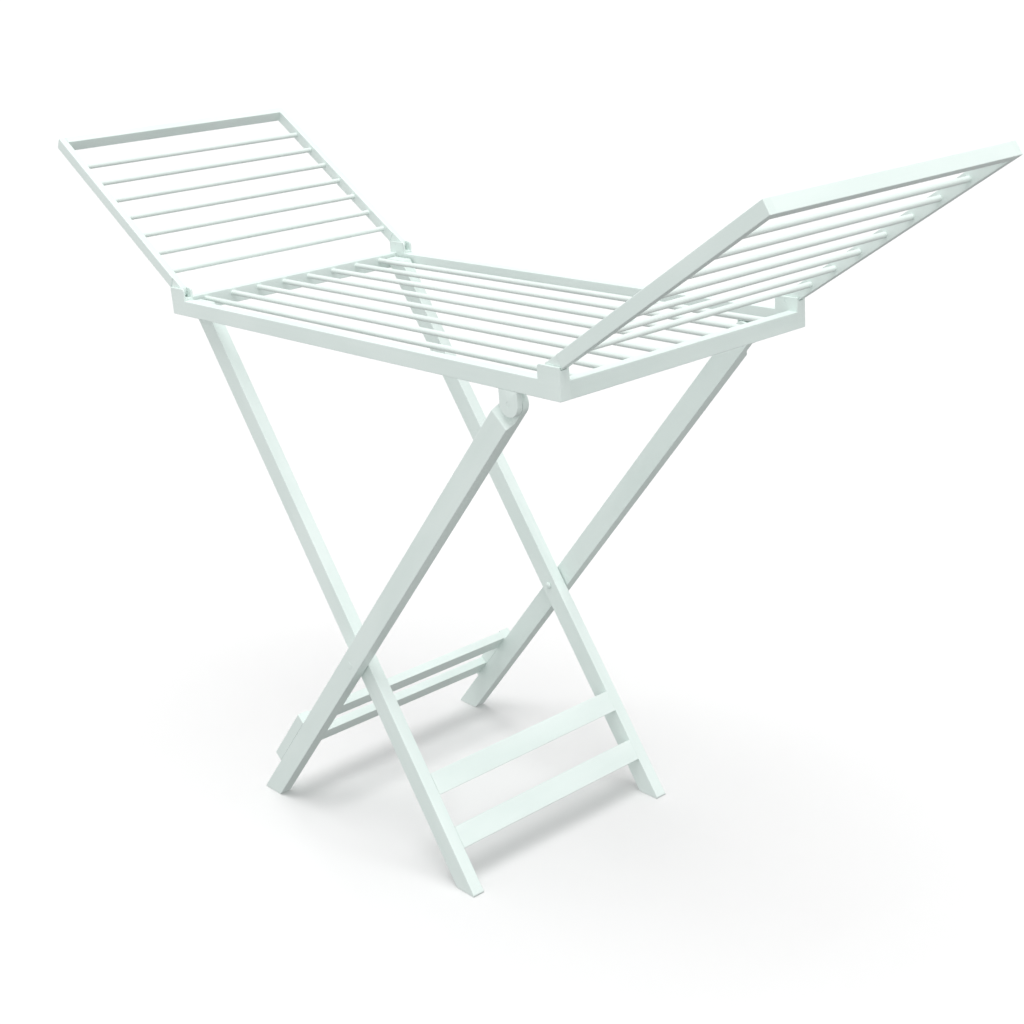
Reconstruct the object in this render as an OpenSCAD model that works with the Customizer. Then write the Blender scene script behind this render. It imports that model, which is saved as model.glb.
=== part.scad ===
// Folding clothes drying rack: a barred top frame with two tilting wings, carried on
// scissor legs. +X runs along the long rails, +Z is up, and the origin is on the floor
// under the middle of the rack. Front is -Y. Rear and right-hand pieces are mirrored.

/* [Top frame] */
// Length of the top frame, along X
frame_l = 1100; // [1090:10:1140]
// Width of the top frame, along Y
frame_w = 550; // [530:10:620]
// Height of the underside of the top frame above the floor
frame_z = 990; // [970:5:1000]
// Thickness of the frame's rails
rail_t = 20; // [19:1:22]
// Height of the frame's rails
rail_h = 29; // [27:1:34]
// Length of the raised lug at each end of a long rail
lug_l = 48; // [44:1:50]
// Height of a lug above its rail
lug_h = 23; // [22:1:26]
// Number of bars along the top frame
frame_bars = 8; // [6:1:8]
// Diameter of every bar
bar_d = 10; // [9:0.5:12]

/* [Wings] */
// Length of a wing from its pivot to its outer edge
wing_l = 488; // [470:2:500]
// Slope of an opened wing above the horizontal
wing_slope = 32.4; // [28:0.2:36]
// Width of a wing's side rail, along Y
wing_side_t = 14; // [13:0.5:16]
// Depth of a wing's rails, square to the wing
wing_h = 23; // [20:1:24]
// Width of a wing's outer rail, along the wing
wing_end_w = 16; // [14:1:22]
// Number of bars in a wing
wing_bars = 7; // [5:1:7]

/* [Legs] */
// Width of a leg board
leg_w = 42; // [36:1:42]
// Thickness of a leg board, along Y
leg_t = 24; // [22:0.5:25]
// X of the outer legs' feet
outer_foot_x = -415; // [-430:5:-400]
// X of the pivots that carry the top frame on the outer legs
leg_pivot_x = 432; // [424:1:440]
// X of the inner legs' feet
inner_foot_x = 182; // [170:2:200]
// X of the inner legs' centre lines at the underside of the top frame
inner_top_x = -486; // [-486:1:-470]

/* [Slats] */
// Width of every cross slat
slat_w = 42; // [36:1:46]
// Thickness of every cross slat
slat_t = 17; // [15:1:18]
// Spacing of the two slats of a pair, along the legs
slat_pitch = 106; // [96:2:110]

/* [Hidden] */
$fn = 64;
gap = 0.4;                 // play between two faces that slide past each other
run = 0.05;                // play around a pin that turns
sides = ["front", "rear"];
ends = ["left", "right"];

// Top frame
rail_top = frame_z + rail_h;
inner_w = frame_w - 2 * rail_t;
frame_pitch = inner_w / (frame_bars + 0.5);
bar_drop = 9;              // from the rails' tops down to the frame bars' centres
frame_bar_z = rail_top - bar_drop;
socket = 12;               // depth of a frame bar's socket
tenon_l = 12;
tenon_edge = 4;            // shoulder left around an end rail's tenon

// Wing hinges: a tongue on the wing turns in a slot in the lug
lug_cheek = 4;
tongue_r = wing_h / 2;
hinge_x = frame_l / 2 - lug_l / 2;
hinge_rise = 5.5;          // room between a folded wing and the frame's rails
hinge_z = rail_top + tongue_r + hinge_rise;
hinge_y = frame_w / 2 - rail_t / 2;
slot_w = rail_t - 2 * lug_cheek;
tongue_t = slot_w - 1.5 * gap;
slot_clear = 0.5;          // room under a folded wing's tongue
wing_pin_r = 3;
wing_pin_blind = 2.5;      // depth of the blind hole in a lug's outer cheek
lug_round = 6;
shoulder_clear = 1;
shoulder = norm([lug_l / 2, lug_h - (hinge_z - rail_top)]) + shoulder_clear;

// Wing bars
wing_first = 56;           // from the pivot to the first bar
wing_last_extra = 13.5;    // the gap beside the outer rail is this much wider
wing_pitch = (wing_l - wing_end_w - wing_first - wing_last_extra) / wing_bars;
wing_socket = 10;          // depth of a wing bar's socket
wing_inner = hinge_y - wing_side_t / 2;

// Legs, in the XZ plane
hanger_clear = 1;          // between a leg's round top and the rail above it
pivot_drop = leg_w / 2 + hanger_clear;
leg_pivot = [leg_pivot_x, frame_z - pivot_drop];
outer_foot = [outer_foot_x, 0];
inner_foot = [inner_foot_x, 0];
tip_rise = 22;             // how far the inner legs reach up into the frame
inner_slope = (inner_top_x - inner_foot_x) / frame_z;
inner_top = [inner_foot_x + inner_slope * (frame_z + tip_rise), frame_z + tip_rise];
outer_slope = (leg_pivot_x - outer_foot_x) / leg_pivot[1];
cross_z = (inner_foot_x - outer_foot_x) / (outer_slope - inner_slope);
crossing = [outer_foot_x + outer_slope * cross_z, cross_z];
outer_y = -frame_w / 2;
leg_gap = 1.6;
inner_y = outer_y + leg_t + leg_gap;

// Half lap between an outer leg's top and the lug that hangs under the rail
lap_t = 10.6;
lap_cut = lap_t + gap;
lap_l = 25;                // from the pivot to the foot of the lap
lap_ramp = 13;
hanger_r = 21;
hanger_tenon_w = 24;
hanger_tenon_face = 3;     // wood left in front of the hanger's tenon
hanger_tenon_t = 5.6;
leg_pin_r = 4.5;
leg_pin_cover = 1;         // wood left over the leg pin's inner end
pin_recess = 0.2;          // how far a pin's end lies below the wood around it

// Scissor bolts
bolt_r = 4;
bolt_head_r = 7;
bolt_head_h = 2;
head_recess = 1.5;         // how deep the bolt's head is let into the outer leg
washer_r = 10;
nut_r = 6.5;
nut_h = 4;

// Slats, placed along the legs from the feet
outer_slat_s = 105;
inner_slat_s = 74;
block_h = 21;              // how far the outer legs' blocks stand proud of the legs
block_tail = 10;           // how far a block reaches below its lower slat
slat_lift = 2;             // lets the folded inner legs pass under the outer slats
slat_tenon = 10;           // length of a slat's tenon
slat_edge = 5;             // shoulders left beside a slat's tenon
slat_face = 4;             // shoulders left above and below it
wing_tenon_edge = 4;       // shoulders left around a wing's outer rail's tenon

function unit(a, b) = (b - a) / norm(b - a);
function slope_deg(a, b) = atan2(b[1] - a[1], b[0] - a[0]);
function frame_bar_y(i) = (i - (frame_bars + 1) / 2) * frame_pitch;
function wing_bar_u(i) = wing_first + (i - 1) * wing_pitch;
function numbered(stem, n) = [for (i = [1:n]) str(stem, i)];

// ---- Helpers ----

// A flat plate drawn in the XZ plane, y0 to y0 + t
module plate(y0, t) {
    translate([0, y0 + t, 0])
        rotate([90, 0, 0])
            linear_extrude(height = t)
                children();
}

// A cylinder along +Y
module rod_y(at, y0, l, r) {
    translate([at[0], y0, at[1]])
        rotate([-90, 0, 0])
            cylinder(h = l, r = r);
}

// Puts local +X along the line a to b in the XZ plane, with a at the origin
module along(a, b) {
    translate([a[0], 0, a[1]])
        rotate([0, -slope_deg(a, b), 0])
            children();
}

module at_side(side) {
    if (side == "front") children();
    else mirror([0, 1, 0]) children();
}

module at_end(end) {
    if (end == "right") children();
    else mirror([1, 0, 0]) children();
}

// ---- Legs, front side ----

// A board whose foot is cut level with the floor and whose top is cut at height top_z
module leg_outline(foot, top) {
    half = leg_w / 2 / unit(foot, top)[1];
    polygon([foot - [half, 0], foot + [half, 0], top + [half, 0], top - [half, 0]]);
}

module outer_leg_outline() {
    n = unit(outer_foot, leg_pivot);
    left = [-n[1], n[0]] * leg_w / 2;
    half = leg_w / 2 / n[1];
    polygon([outer_foot - [half, 0], outer_foot + [half, 0], leg_pivot - left, leg_pivot + left]);
    translate(leg_pivot) circle(r = leg_w / 2);
}

// The waste cut from the leg's outer half so that the hanging lug fits beside it
module lap_waste() {
    along(leg_pivot, outer_foot)
        translate([0, outer_y, -leg_w])
            linear_extrude(height = 2 * leg_w)
                polygon([
                    [-leg_w, -1], [-leg_w, lap_cut], [lap_l, lap_cut],
                    [lap_l + lap_ramp, 0], [lap_l + lap_ramp, -1]
                ]);
}

module outer_leg() {
    color("#e9f2ee")
        difference() {
            plate(outer_y, leg_t) outer_leg_outline();
            lap_waste();
            rod_y(leg_pivot, outer_y - 1, leg_t + 1 - leg_pin_cover, leg_pin_r + run);
            rod_y(crossing, outer_y - 1, leg_t + 2, bolt_r);
            rod_y(crossing, outer_y - 1, head_recess + 1, bolt_head_r + gap / 2);
        }
}

// Square block glued to the leg's upper edge, which carries the ends of the two slats
module outer_block() {
    color("#e9f2ee")
        difference() {
            along(outer_foot, leg_pivot)
                translate([outer_slat_s - block_tail, outer_y, leg_w / 2])
                    cube([slat_pitch + slat_w + block_tail, leg_t, block_h]);
            for (k = [0, 1]) outer_slat_tenons(k);
        }
}

module inner_leg() {
    color("#e9f2ee")
        difference() {
            plate(inner_y, leg_t) leg_outline(inner_foot, inner_top);
            rod_y(crossing, inner_y - 1, leg_t + 2, bolt_r + run);
            for (k = [0, 1]) inner_slat_tenons(k);
        }
}

// ---- Cross slats ----

module slat_bar(s, z0, half_y) {
    translate([s, -half_y, z0])
        cube([slat_w, 2 * half_y, slat_t]);
}

module slat_tenons(s, z0, half_y) {
    for (m = [0, 1])
        mirror([0, m, 0])
            translate([s + slat_edge, -half_y - slat_tenon, z0 + slat_face])
                cube([slat_w - 2 * slat_edge, slat_tenon, slat_t - 2 * slat_face]);
}

module place_outer_slat() {
    along(outer_foot, leg_pivot) children();
}

module outer_slat_tenons(k) {
    place_outer_slat()
        slat_tenons(outer_slat_s + k * slat_pitch, leg_w / 2 + slat_lift, -outer_y - leg_t);
}

module outer_slat(k) {
    color("#eef6f3") {
        place_outer_slat()
            slat_bar(outer_slat_s + k * slat_pitch, leg_w / 2 + slat_lift, -outer_y - leg_t);
        outer_slat_tenons(k);
    }
}

module inner_slat_tenons(k) {
    along(inner_foot, inner_top)
        slat_tenons(inner_slat_s + k * slat_pitch, -leg_w / 2, -inner_y - leg_t);
}

module inner_slat(k) {
    color("#eef6f3") {
        along(inner_foot, inner_top)
            slat_bar(inner_slat_s + k * slat_pitch, -leg_w / 2, -inner_y - leg_t);
        inner_slat_tenons(k);
    }
}

// ---- Pivots, front side ----

module scissor_bolt() {
    y0 = outer_y + head_recess - bolt_head_h;
    color("#dfe8e4") {
        rod_y(crossing, y0, bolt_head_h, bolt_head_r);
        rod_y(crossing, y0, inner_y + leg_t + gap + nut_h / 2 - y0, bolt_r);
    }
}

module scissor_washer() {
    color("#c9cfcc")
        difference() {
            rod_y(crossing, outer_y + leg_t, leg_gap - gap, washer_r);
            rod_y(crossing, outer_y + leg_t - 1, leg_gap + 2, bolt_r + gap / 2);
        }
}

// Low domed cap on the inner leg's inside face
module scissor_nut() {
    y0 = inner_y + leg_t + gap;
    color("#c9cfcc")
        difference() {
            translate([crossing[0], y0, crossing[1]])
                rotate([-90, 0, 0])
                    rotate_extrude()
                        polygon(concat(
                            [[0, 0], [nut_r, 0], [nut_r, nut_h / 3]],
                            [for (a = [15:15:75]) [nut_r * cos(a), nut_h / 3 + nut_h * 2 / 3 * sin(a)]],
                            [[0, nut_h]]
                        ));
            rod_y(crossing, y0 - 1, 1 + nut_h / 2, bolt_r);
        }
}

// Fixed in the hanging lug, turning in the outer leg
module leg_pin() {
    color("#dfe8e4")
        rod_y(leg_pivot, outer_y + pin_recess, leg_t - leg_pin_cover - pin_recess, leg_pin_r);
}

// ---- Top frame ----

// Rounded lug that hangs under the rail, with a stub tenon up into it
module hanger_tenon() {
    translate([leg_pivot_x - hanger_tenon_w / 2, outer_y + hanger_tenon_face, frame_z])
        cube([hanger_tenon_w, hanger_tenon_t, tenon_l]);
}

module leg_hanger() {
    color("#e9f2ee")
        difference() {
            union() {
                plate(outer_y, lap_t) {
                    translate(leg_pivot) circle(r = hanger_r);
                    translate(leg_pivot - [hanger_r, 0]) square([2 * hanger_r, pivot_drop]);
                }
                hanger_tenon();
            }
            rod_y(leg_pivot, outer_y - 1, lap_t + 2, leg_pin_r);
        }
}

// A lug's outline at the right end, with its inner top corner rounded
module lug_outline() {
    x0 = frame_l / 2 - lug_l;
    translate([x0, rail_top - 1]) square([lug_l, lug_h + 1 - lug_round]);
    translate([x0 + lug_round, rail_top]) square([lug_l - lug_round, lug_h]);
    translate([x0 + lug_round, rail_top + lug_h - lug_round]) circle(r = lug_round);
}

// Slot for the wing's tongue at the right end. It is open at the top and towards the
// middle of the rack, and its sloping floor stops the wing at its open angle.
module lug_slot() {
    reach = lug_l / 2 + 1;
    floor_z = -tongue_r - slot_clear;
    stop_drop = (tongue_r + gap) / cos(wing_slope);
    plate(-hinge_y - slot_w / 2, slot_w)
        translate([hinge_x, hinge_z])
            polygon([
                [-reach, floor_z],
                [(floor_z + stop_drop) / tan(wing_slope), floor_z],
                [reach, reach * tan(wing_slope) - stop_drop],
                [reach, lug_h],
                [-reach, lug_h]
            ]);
}

module wing_pin_hole(r, extra) {
    l = rail_t - lug_cheek + wing_pin_blind;
    rod_y([hinge_x, hinge_z], -frame_w / 2 + lug_cheek - wing_pin_blind, l + extra, r);
}

module wing_pin() {
    color("#c9cfcc") wing_pin_hole(wing_pin_r, -pin_recess);
}

module end_rail_tenons() {
    for (m = [0, 1])
        mirror([0, m, 0])
            translate([
                frame_l / 2 - rail_t + tenon_edge,
                -inner_w / 2 - tenon_l,
                frame_z + tenon_edge
            ])
                cube([rail_t - 2 * tenon_edge, tenon_l, rail_h - 2 * tenon_edge]);
}

module long_rail() {
    color("#e9f2ee")
        difference() {
            plate(outer_y, rail_t) {
                translate([-frame_l / 2, frame_z]) square([frame_l, rail_h]);
                for (m = [0, 1]) mirror([m, 0]) lug_outline();
            }
            for (end = ends)
                at_end(end) {
                    lug_slot();
                    wing_pin_hole(wing_pin_r, 1);
                    end_rail_tenons();
                }
            hanger_tenon();
        }
}

module end_rail() {
    color("#e9f2ee")
        difference() {
            union() {
                translate([frame_l / 2 - rail_t, -inner_w / 2, frame_z])
                    cube([rail_t, inner_w, rail_h]);
                end_rail_tenons();
            }
            for (i = [1:frame_bars]) frame_bar_solid(i);
        }
}

module frame_bar_solid(i) {
    l = frame_l - 2 * rail_t + 2 * socket;
    translate([-l / 2, frame_bar_y(i), frame_bar_z])
        rotate([0, 90, 0])
            cylinder(h = l, d = bar_d);
}

module frame_bar(i) {
    color("#eef6f3") frame_bar_solid(i);
}

// ---- Wings, right end ----

module wing_place() {
    translate([hinge_x, 0, hinge_z])
        rotate([0, -wing_slope, 0])
            children();
}

module wing_bar_solid(i) {
    wing_place()
        rod_y([wing_bar_u(i), 0], -wing_inner - wing_socket, 2 * (wing_inner + wing_socket), bar_d / 2);
}

module wing_end_tenons() {
    wing_place()
        for (m = [0, 1])
            mirror([0, m, 0])
                translate([
                    wing_l - wing_end_w + wing_tenon_edge,
                    -wing_inner - slat_tenon,
                    -wing_h / 2 + wing_tenon_edge
                ])
                    cube([
                        wing_end_w - 2 * wing_tenon_edge,
                        slat_tenon,
                        wing_h - 2 * wing_tenon_edge
                    ]);
}

// Side rail with a round-ended tongue that turns in the lug's slot
module wing_side() {
    color("#e9f2ee")
        difference() {
            wing_place()
                union() {
                    translate([shoulder, -hinge_y - wing_side_t / 2, -wing_h / 2])
                        cube([wing_l - shoulder, wing_side_t, wing_h]);
                    plate(-hinge_y - tongue_t / 2, tongue_t) {
                        translate([0, -tongue_r]) square([shoulder, 2 * tongue_r]);
                        circle(r = tongue_r);
                    }
                }
            rod_y([hinge_x, hinge_z], -frame_w / 2, rail_t, wing_pin_r + run);
            for (i = [1:wing_bars]) wing_bar_solid(i);
            wing_end_tenons();
        }
}

module wing_end() {
    color("#e9f2ee") {
        wing_place()
            translate([wing_l - wing_end_w, -wing_inner, -wing_h / 2])
                cube([wing_end_w, 2 * wing_inner, wing_h]);
        wing_end_tenons();
    }
}

module wing_bar(i) {
    color("#eef6f3") wing_bar_solid(i);
}

// ---- The nodes ----

for (side = sides) {
    at_side(side) outer_leg();
    at_side(side) outer_block();
    at_side(side) inner_leg();
    at_side(side) scissor_bolt();
    at_side(side) scissor_washer();
    at_side(side) scissor_nut();
    at_side(side) leg_pin();
    at_side(side) leg_hanger();
    at_side(side) long_rail();
}
outer_slat(1);  // outer_slat_upper
outer_slat(0);  // outer_slat_lower
inner_slat(1);  // inner_slat_upper
inner_slat(0);  // inner_slat_lower
for (i = [1:frame_bars])
    frame_bar(i);
for (end = ends) {
    at_end(end) end_rail();
    at_end(end) wing_end();
    for (side = sides) {
        at_end(end) at_side(side) wing_pin();
        at_end(end) at_side(side) wing_side();
    }
    for (i = [1:wing_bars])
        at_end(end) wing_bar(i);
}
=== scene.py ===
# The clothes drying rack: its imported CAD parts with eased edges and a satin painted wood
# finish, on a pale studio floor. Lengths are in metres, in the frame of the CAD model.
import math

import bpy
import numpy as np
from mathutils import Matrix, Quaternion, Vector
from mathutils.bvhtree import BVHTree

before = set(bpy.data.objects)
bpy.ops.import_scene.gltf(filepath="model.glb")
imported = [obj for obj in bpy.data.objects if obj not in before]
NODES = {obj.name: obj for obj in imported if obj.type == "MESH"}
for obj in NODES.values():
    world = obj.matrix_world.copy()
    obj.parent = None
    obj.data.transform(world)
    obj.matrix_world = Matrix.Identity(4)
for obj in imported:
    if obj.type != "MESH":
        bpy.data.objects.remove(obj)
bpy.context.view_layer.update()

# ---- Paint and metal colours, linear ----
PAINT_LIGHT = (0.808, 0.902, 0.870)
PAINT_DEEP = (0.770, 0.870, 0.836)
PAINT_RIDGE = (0.845, 0.920, 0.890)
BAR_LIGHT = (0.835, 0.910, 0.880)
BAR_DEEP = (0.795, 0.878, 0.845)
STEEL_LIGHT = (0.60, 0.63, 0.62)
STEEL_DEEP = (0.50, 0.53, 0.52)
FLOOR_LIGHT = (0.830, 0.830, 0.830)
FLOOR_DEEP = (0.818, 0.817, 0.816)

# ---- Patterns in the paint: how long each is along the board, and how wide across it ----
RIDGES = (0.22, 0.007)         # grain ridges
BRUSH = (0.05, 0.0011)         # brush lines
CLOUD = (0.18, 0.06)           # slow changes of tint and sheen
PEEL = (0.0024, 0.0018)        # fine unevenness of the dried paint
RIDGE_RELIEF = 0.00016
BRUSH_RELIEF = 0.00004
PEEL_RELIEF = 0.00003
RIDGE_SHOW = 0.45              # share of the ridges' own tint on a ridge

# The part of a noise's values that a pattern is spread over
TINT_SPAN = (0.32, 0.68)
RIDGE_SPAN = (0.60, 0.80)
SHEEN_SPAN = (0.3, 0.7)
METAL_SPAN = (0.35, 0.65)

# ---- Roughness, and how much it wanders below and above ----
BOARD_ROUGHNESS = 0.44
BAR_ROUGHNESS = 0.40
CAP_ROUGHNESS = 0.42
STEEL_ROUGHNESS = 0.38
CLOUD_SHEEN = (-0.04, 0.03)
BRUSH_SHEEN = (-0.03, 0.04)
METAL_SHEEN = (-0.05, 0.06)
STEEL_METALLIC = 0.85

# ---- Fine pattern of the fasteners, in repeats to the metre ----
METAL_MOTTLE = 260.0
METAL_PEEL = 900.0
METAL_RELIEF = 0.00004

# ---- Eased edges ----
BOARD_EASE = 0.0012        # rounding of a board's planed edges
FOOT_EASE = 0.007          # rounding of the corners that a leg stands on
SMALL_EASE = 0.0004        # rounding of a bar's or a fastener's edges
SHARP = math.radians(32)   # a sharper corner than this can be eased
CREASE = math.radians(40)  # a sharper corner than this shades as hard once easing is done
FLAT = math.radians(0.4)   # facets that differ by less than this lie in one plane
LONG_EDGE = 0.005          # a run of edges with one longer than this is an outline
SAME_PLACE = 0.00001       # corners nearer than this are one corner
TOUCHING = 0.00015         # parts nearer than this are glued face to face
ON_FLOOR = 0.0005          # lower than this is at the floor
EASE_STEPS = 4
FLAT_FACE_PULL = 90        # how strongly big faces keep their own shading


# ---- Shader helpers ----

MIX_COLOURS = (6, 7)       # a Mix node's two colour inputs
MIX_RESULT = 2             # and its colour output


class Shader:
    """A material's or a world's node tree, with short calls for the nodes used here."""

    def __init__(self, owner):
        owner.use_nodes = True
        self.tree = owner.node_tree
        self.tree.nodes.clear()

    def add(self, kind, **settings):
        node = self.tree.nodes.new("ShaderNode" + kind)
        for key, value in settings.items():
            setattr(node, key, value)
        return node

    def link(self, source, target):
        self.tree.links.new(source, target)

    def fill(self, node, **values):
        for key, value in values.items():
            node.inputs[key.replace("_", " ")].default_value = value

    def noise(self, vector, scale, detail=3.0, roughness=0.55):
        node = self.add("TexNoise")
        self.fill(node, Scale=scale, Detail=detail, Roughness=roughness)
        self.link(vector, node.inputs["Vector"])
        return node.outputs["Fac"]

    def spread(self, value, low, high, out_low=0.0, out_high=1.0):
        node = self.add("MapRange", interpolation_type="SMOOTHSTEP")
        names = ("From Min", "From Max", "To Min", "To Max")
        for key, number in zip(names, (low, high, out_low, out_high)):
            node.inputs[key].default_value = number
        self.link(value, node.inputs["Value"])
        return node.outputs["Result"]

    def blend(self, factor, first, second):
        """Mixes two colours; either may be a tuple or a socket."""
        node = self.add("Mix", data_type="RGBA")
        self.link(factor, node.inputs["Factor"])
        for key, colour in zip(MIX_COLOURS, (first, second)):
            if isinstance(colour, tuple):
                node.inputs[key].default_value = (*colour, 1.0)
            else:
                self.link(colour, node.inputs[key])
        return node.outputs[MIX_RESULT]

    def maths(self, operation, first, second):
        node = self.add("Math", operation=operation)
        for key, value in ((0, first), (1, second)):
            if isinstance(value, float):
                node.inputs[key].default_value = value
            else:
                self.link(value, node.inputs[key])
        return node.outputs[0]

    def bump(self, height, distance, strength=1.0, under=None):
        node = self.add("Bump")
        self.fill(node, Strength=strength, Distance=distance)
        self.link(height, node.inputs["Height"])
        if under is not None:
            self.link(under, node.inputs["Normal"])
        return node.outputs["Normal"]

    def surface(self, colour, rough, normal, **constants):
        node = self.add("BsdfPrincipled")
        self.link(colour, node.inputs["Base Color"])
        self.link(rough, node.inputs["Roughness"])
        self.link(normal, node.inputs["Normal"])
        self.fill(node, **constants)
        out = self.add("OutputMaterial")
        self.link(node.outputs["BSDF"], out.inputs["Surface"])


def board_coordinates(shader, grain):
    """Coordinates in metres whose X runs along the board. Its grain lies in XZ or along Y."""
    place = shader.add("TexCoord").outputs["Object"]
    turn = shader.add("Mapping")
    if abs(grain.y) > abs(grain.x) + abs(grain.z):
        turn.inputs["Rotation"].default_value = (0, 0, -math.pi / 2)
    else:
        turn.inputs["Rotation"].default_value = (0, math.atan2(grain.z, grain.x), 0)
    shader.link(place, turn.inputs["Vector"])
    return turn.outputs["Vector"]


def stretched(shader, vector, length, width):
    """Squeezes the coordinates so that one unit is length along the board and width across."""
    node = shader.add("Mapping")
    node.inputs["Scale"].default_value = (1 / length, 1 / width, 1 / width)
    shader.link(vector, node.inputs["Vector"])
    return node.outputs["Vector"]


def painted_wood(name, grain, light, deep, roughness):
    """Satin paint over planed wood: grain ridges and brush lines telegraph through it."""
    material = bpy.data.materials.new(name)
    shader = Shader(material)
    along = board_coordinates(shader, grain)
    ridges = shader.noise(stretched(shader, along, *RIDGES), 1.0, detail=4.0, roughness=0.6)
    brush = shader.noise(stretched(shader, along, *BRUSH), 1.0, detail=2.0, roughness=0.5)
    cloud = shader.noise(stretched(shader, along, *CLOUD), 1.0, detail=2.0, roughness=0.5)
    peel = shader.noise(stretched(shader, along, *PEEL), 1.0, detail=1.0, roughness=0.5)

    tint = shader.blend(shader.spread(cloud, *TINT_SPAN), deep, light)
    tint = shader.blend(shader.spread(ridges, *RIDGE_SPAN, 0.0, RIDGE_SHOW), tint, PAINT_RIDGE)
    slow = [roughness + change for change in CLOUD_SHEEN]
    sheen = shader.maths(
        "ADD",
        shader.spread(cloud, *SHEEN_SPAN, *slow),
        shader.spread(brush, *SHEEN_SPAN, *BRUSH_SHEEN),
    )
    normal = shader.bump(ridges, RIDGE_RELIEF)
    normal = shader.bump(brush, BRUSH_RELIEF, under=normal)
    normal = shader.bump(peel, PEEL_RELIEF, under=normal)
    shader.surface(tint, sheen, normal, IOR=1.49, Coat_Weight=0.12, Coat_Roughness=0.22)
    return material


def painted_metal(name, light, deep, metallic, roughness):
    """Small fasteners: fine grained, slightly uneven."""
    material = bpy.data.materials.new(name)
    shader = Shader(material)
    place = shader.add("TexCoord").outputs["Object"]
    mottle = shader.noise(place, METAL_MOTTLE)
    tint = shader.blend(shader.spread(mottle, *METAL_SPAN), deep, light)
    rough = shader.spread(mottle, *SHEEN_SPAN, *[roughness + change for change in METAL_SHEEN])
    normal = shader.bump(shader.noise(place, METAL_PEEL, detail=2.0), METAL_RELIEF)
    shader.surface(tint, rough, normal, Metallic=metallic)
    return material


# ---- Finish of each CAD part ----

def long_axis(node):
    """Direction of a part's longest stretch, rounded so that parallel parts agree."""
    places = np.array([v.co for v in node.data.vertices])
    values, axes = np.linalg.eigh(np.cov((places - places.mean(0)).T))
    axis = axes[:, int(np.argmax(values))]
    if axis[int(np.argmax(abs(axis)))] < 0:
        axis = -axis
    return tuple(round(float(c), 2) + 0.0 for c in axis)


def surface_tree(node):
    """A part's surface, as a tree that finds the nearest point on it."""
    places = [node.matrix_world @ v.co for v in node.data.vertices]
    return BVHTree.FromPolygons(places, [tuple(f.vertices) for f in node.data.polygons])


TREES = {name: surface_tree(node) for name, node in NODES.items()}


def touches_another(name, place):
    """Whether a place lies on the surface of a part other than the named one."""
    return any(
        tree.find_nearest(place, TOUCHING)[0] is not None
        for other, tree in TREES.items() if other != name
    )


def outline_edges(name, node):
    """How far each edge of a part is to be eased, as a share of FOOT_EASE.

    Only the sharp outer corners are eased, in runs that have a long edge. That leaves
    hard the rims of bores, the inside corners, and the edges glued against another part.
    The corners that a leg stands on are eased the most.
    """
    mesh = node.data
    places = np.array([v.co for v in mesh.vertices])
    _, corner = np.unique(np.round(places / SAME_PLACE), axis=0, return_inverse=True)
    corner = corner.ravel()

    def ends(edge):
        return tuple(sorted(int(corner[i]) for i in edge))

    beside = {}                # each edge's faces
    for face in mesh.polygons:
        for edge in face.edge_keys:
            beside.setdefault(ends(edge), []).append(face)
    outer = set()              # the sharp edges that stand out
    for key, faces in beside.items():
        if len(faces) == 2 and faces[0].normal.dot(faces[1].normal) < math.cos(SHARP):
            if (faces[1].center - faces[0].center).dot(faces[0].normal) < 0:
                outer.add(key)

    run = {}                   # joins touching edges into runs

    def first_of(c):
        while run.setdefault(c, c) != c:
            c = run[c]
        return c

    for a, b in outer:
        run[first_of(a)] = first_of(b)
    longest = {}
    for edge in mesh.edges:
        a, b = edge.vertices
        if ends((a, b)) in outer:
            start = first_of(int(corner[a]))
            longest[start] = max(longest.get(start, 0.0), np.linalg.norm(places[a] - places[b]))

    eased = []
    for edge in mesh.edges:
        a, b = edge.vertices
        key = ends((a, b))
        start, stop = (node.matrix_world @ mesh.vertices[i].co for i in (a, b))
        ease = (
            key in outer
            and longest[first_of(key[0])] > LONG_EDGE
            and not touches_another(name, (start + stop) / 2)
        )
        across = abs(stop.y - start.y) > abs(stop.x - start.x)
        foot = across and max(start.z, stop.z) < ON_FLOOR
        eased.append((1.0 if foot else BOARD_EASE / FOOT_EASE) if ease else 0.0)
    return eased


def ease_edges(name, node, small):
    """Rounds a part's edges with modifiers, which leave its own vertices as they are."""
    mesh = node.data
    mesh.shade_smooth()
    weld = node.modifiers.new("weld", "WELD")
    weld.merge_threshold = SAME_PLACE / 2
    flats = node.modifiers.new("flats", "DECIMATE")
    flats.decimate_type = "DISSOLVE"
    flats.angle_limit = FLAT
    bevel = node.modifiers.new("ease", "BEVEL")
    bevel.width = SMALL_EASE if small else FOOT_EASE
    bevel.segments = EASE_STEPS
    bevel.use_clamp_overlap = False
    if small:
        bevel.limit_method = "ANGLE"
        bevel.angle_limit = SHARP
    else:
        weights = mesh.attributes.new("bevel_weight_edge", "FLOAT", "EDGE")
        weights.data.foreach_set("value", outline_edges(name, node))
        bevel.limit_method = "WEIGHT"
    node.modifiers.new("facets", "TRIANGULATE")
    creases = node.modifiers.new("creases", "EDGE_SPLIT")
    creases.split_angle = CREASE
    creases.use_edge_sharp = False
    shade = node.modifiers.new("shade", "WEIGHTED_NORMAL")
    shade.weight = FLAT_FACE_PULL


def is_bar(name):
    return "_bar_" in name


def is_fastener(name):
    return name.startswith(("scissor", "leg_pin", "wing_pin"))


made = {}                      # the materials made so far


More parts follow.
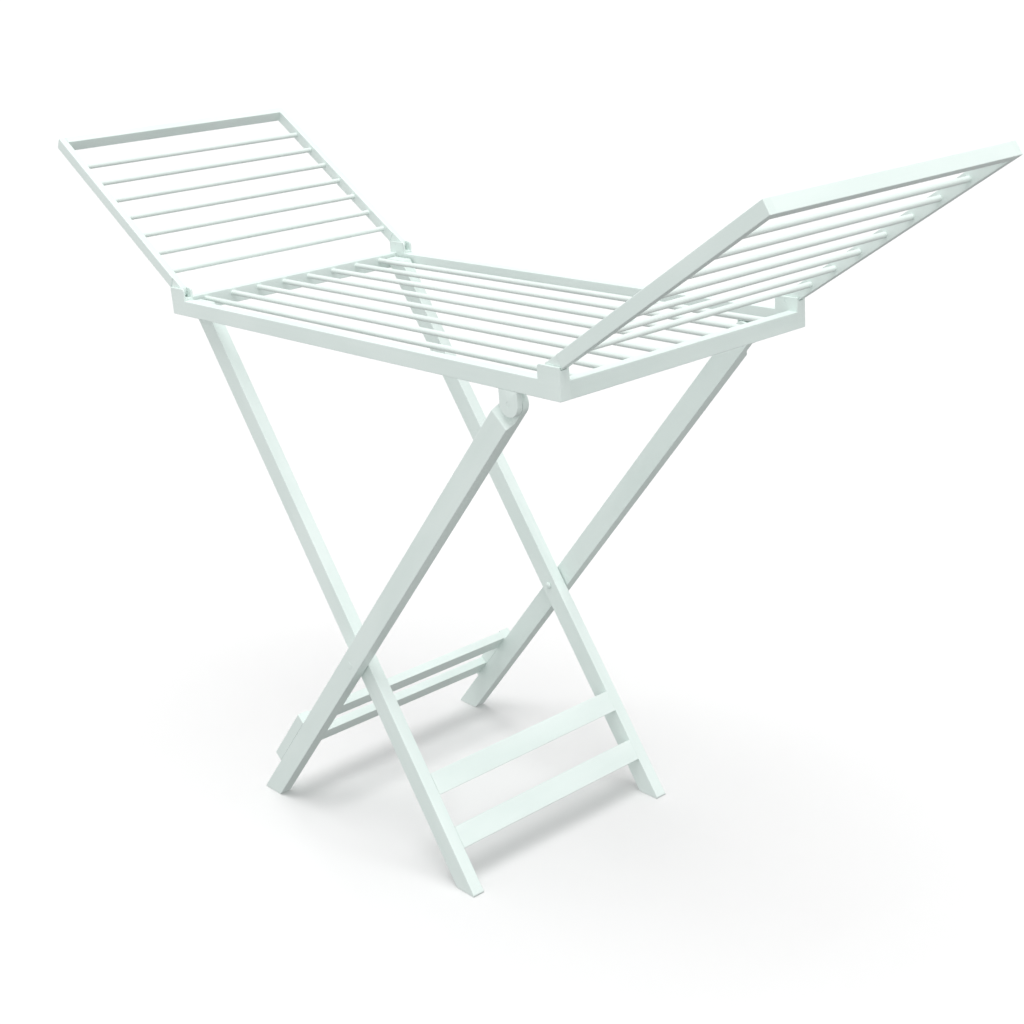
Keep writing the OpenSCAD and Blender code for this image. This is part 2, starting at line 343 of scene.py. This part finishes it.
def finish_of(name, node):
    """The material of a CAD part, shared by the parts whose grain runs the same way."""
    if name.startswith("scissor_washer"):
        key, label, make = "zinc", "zinc_hardware", painted_metal
        settings = (STEEL_LIGHT, STEEL_DEEP, STEEL_METALLIC, STEEL_ROUGHNESS)
    elif is_fastener(name):
        key, label, make = "caps", "painted_caps", painted_metal
        settings = (PAINT_LIGHT, PAINT_DEEP, 0.0, CAP_ROUGHNESS)
    else:
        axis = long_axis(node)
        kind = "bar" if is_bar(name) else "board"
        key, label, make = (kind, axis), f"{kind}_paint_{len(made)}", painted_wood
        if kind == "bar":
            settings = (Vector(axis), BAR_LIGHT, BAR_DEEP, BAR_ROUGHNESS)
        else:
            settings = (Vector(axis), PAINT_LIGHT, PAINT_DEEP, BOARD_ROUGHNESS)
    if key not in made:
        made[key] = make(label, *settings)
    return made[key]


for name, node in NODES.items():
    finish = finish_of(name, node)
    for material_slot in node.material_slots:
        material_slot.material = finish
    ease_edges(name, node, small=is_bar(name) or is_fastener(name))


# ---- Studio ----

FLOOR_HALF = 300.0
FLOOR_CLOUD = 0.7          # repeats to the metre of the floor's slow changes
FLOOR_GRAIN = 40.0         # and of its fine grain
FLOOR_RELIEF = 0.0001
FLOOR_ROUGHNESS = (0.88, 0.94)
HORIZON = 1.00             # light that comes from level with the rack
ZENITH = 0.50              # light that comes from straight above
NADIR = 0.20               # light that comes back up from the floor
BACKDROP = 1.0             # brightness of what is seen past the floor
KEY_STRENGTH = 2.0
KEY_FROM = Vector((0.14, -0.12, 1.0))
KEY_ANGLE = math.radians(42)  # a wide lamp, for soft shadows


def floor():
    """A wide pale floor, which lights nothing, so that no bounce tints the rack."""
    mesh = bpy.data.meshes.new("floor")
    corners = [(-1, -1), (1, -1), (1, 1), (-1, 1)]
    mesh.from_pydata([(x * FLOOR_HALF, y * FLOOR_HALF, 0) for x, y in corners], [], [(0, 1, 2, 3)])
    plane = bpy.data.objects.new("floor", mesh)
    bpy.context.scene.collection.objects.link(plane)
    material = bpy.data.materials.new("studio_floor")
    shader = Shader(material)
    place = shader.add("TexCoord").outputs["Object"]
    cloud = shader.noise(place, FLOOR_CLOUD, detail=2.0)
    tint = shader.blend(shader.spread(cloud, *SHEEN_SPAN), FLOOR_DEEP, FLOOR_LIGHT)
    rough = shader.spread(cloud, *SHEEN_SPAN, *FLOOR_ROUGHNESS)
    normal = shader.bump(shader.noise(place, FLOOR_GRAIN, detail=2.0), FLOOR_RELIEF)
    shader.surface(tint, rough, normal, Specular_IOR_Level=0.1)
    mesh.materials.append(material)
    plane.visible_diffuse = False
    plane.visible_glossy = False


def sky():
    """Light from all round: brightest level with the rack, dimmer straight above, dimmest from
    below; past the floor the camera sees an even backdrop.
    """
    world = bpy.data.worlds.new("studio")
    bpy.context.scene.world = world
    shader = Shader(world)
    place = shader.add("TexCoord").outputs["Generated"]
    split = shader.add("SeparateXYZ")
    shader.link(place, split.inputs[0])
    up = shader.spread(split.outputs["Z"], 0.0, 1.0, HORIZON, ZENITH)
    down = shader.spread(split.outputs["Z"], -1.0, 0.0, NADIR - HORIZON, 0.0)
    light = shader.add("Background")
    shader.link(shader.maths("ADD", up, down), light.inputs["Strength"])
    seen = shader.add("Background")
    seen.inputs["Strength"].default_value = BACKDROP
    for shown in (light, seen):
        shown.inputs["Color"].default_value = (1, 1, 1, 1)
    ray = shader.add("LightPath")
    mixed = shader.add("MixShader")
    shader.link(ray.outputs["Is Camera Ray"], mixed.inputs[0])
    shader.link(light.outputs[0], mixed.inputs[1])
    shader.link(seen.outputs[0], mixed.inputs[2])
    out = shader.add("OutputWorld")
    shader.link(mixed.outputs[0], out.inputs["Surface"])


def key_light():
    lamp = bpy.data.lights.new("key", "SUN")
    lamp.energy = KEY_STRENGTH
    lamp.angle = KEY_ANGLE
    key = bpy.data.objects.new("key", lamp)
    key.rotation_mode = "QUATERNION"
    key.rotation_quaternion = KEY_FROM.to_track_quat("Z", "Y")
    bpy.context.scene.collection.objects.link(key)


# ---- Camera, placed by where it stands around the rack ----

CAMERA_TARGET = Vector((0.0929, 0.0, 0.6448))
CAMERA_AZIMUTH = math.radians(50.17)
CAMERA_ELEVATION = math.radians(19.32)
CAMERA_ROLL = math.radians(-4.25)
CAMERA_DISTANCE = 2.9406
CAMERA_LENS = 56.9
SENSOR = 36.0


def camera():
    flat = math.cos(CAMERA_ELEVATION)
    back = Vector((math.sin(CAMERA_AZIMUTH) * flat, -math.cos(CAMERA_AZIMUTH) * flat,
                   math.sin(CAMERA_ELEVATION)))
    data = bpy.data.cameras.new("camera")
    data.lens = CAMERA_LENS
    data.sensor_width = SENSOR
    data.clip_end = 4 * FLOOR_HALF
    eye = bpy.data.objects.new("camera", data)
    eye.location = CAMERA_TARGET + back * CAMERA_DISTANCE
    eye.rotation_mode = "QUATERNION"
    eye.rotation_quaternion = (-back).to_track_quat("-Z", "Y") @ Quaternion((0, 0, 1), CAMERA_ROLL)
    bpy.context.scene.collection.objects.link(eye)
    bpy.context.scene.camera = eye


floor()
sky()
key_light()
camera()
bpy.context.scene.view_settings.view_transform = "Standard"
